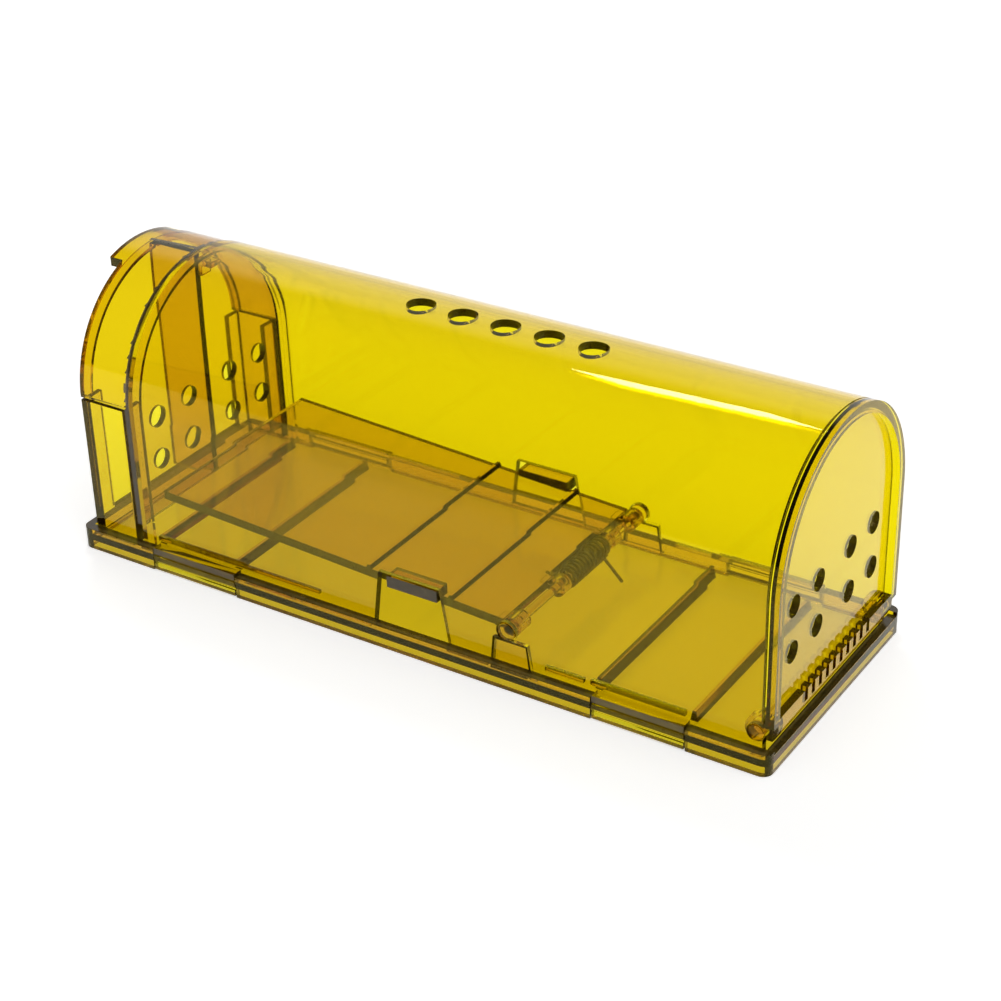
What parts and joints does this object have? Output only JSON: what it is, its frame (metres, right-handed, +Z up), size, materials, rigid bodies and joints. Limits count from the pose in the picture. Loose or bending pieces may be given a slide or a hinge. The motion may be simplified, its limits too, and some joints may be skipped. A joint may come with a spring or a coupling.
{
  "type": "live catch trap",
  "caption": "Clear tunnel-shaped live catch trap with a drop door at the entrance, a sprung tread pedal and a hinged clean-out door.",
  "frame": {"origin": "middle of the footprint, finger lip included, on the surface the trap stands on", "axes": "+X from the entrance towards the rear door, +Y to the far side, +Z up"},
  "size_m": [0.1714, 0.0604, 0.0639],
  "materials": {
    "clear_yellow": "clear yellow polished plastic",
    "golden_yellow": "clear golden polished plastic",
    "dark_steel": "drawn steel wire"
  },
  "bodies": {
    "body": {"base_tray": "golden_yellow", "housing_shell": "clear_yellow", "entrance_frame": "clear_yellow", "crown_catch": "golden_yellow", "pivot_rod": "golden_yellow", "rear_hinge_pin_near": "golden_yellow", "rear_hinge_pin_far": "golden_yellow"},
    "front_door": {"front_door": "clear_yellow"},
    "pedal": {"pedal_plate": "golden_yellow", "return_spring": "dark_steel"},
    "rear_door": {"rear_door": "clear_yellow"}
  },
  "joints": [
    {"name": "front_door_lift", "type": "slide", "parent": "body", "child": "front_door", "axis": [0, 0, 1], "range_m": [0, 0.032]},
    {"name": "pedal_tilt", "type": "hinge", "parent": "body", "child": "pedal", "pos_m": [0.02615, 0, 0.0119], "axis": [0, 1, 0], "range_deg": [-6, 0], "stiffness_Nm_per_rad": 0.008, "springref_deg": 42.97},
    {"name": "rear_door_swing", "type": "hinge", "parent": "body", "child": "rear_door", "pos_m": [0.08155, 0, 0.0078], "axis": [0, 1, 0], "range_deg": [0, 75]}
  ]
}
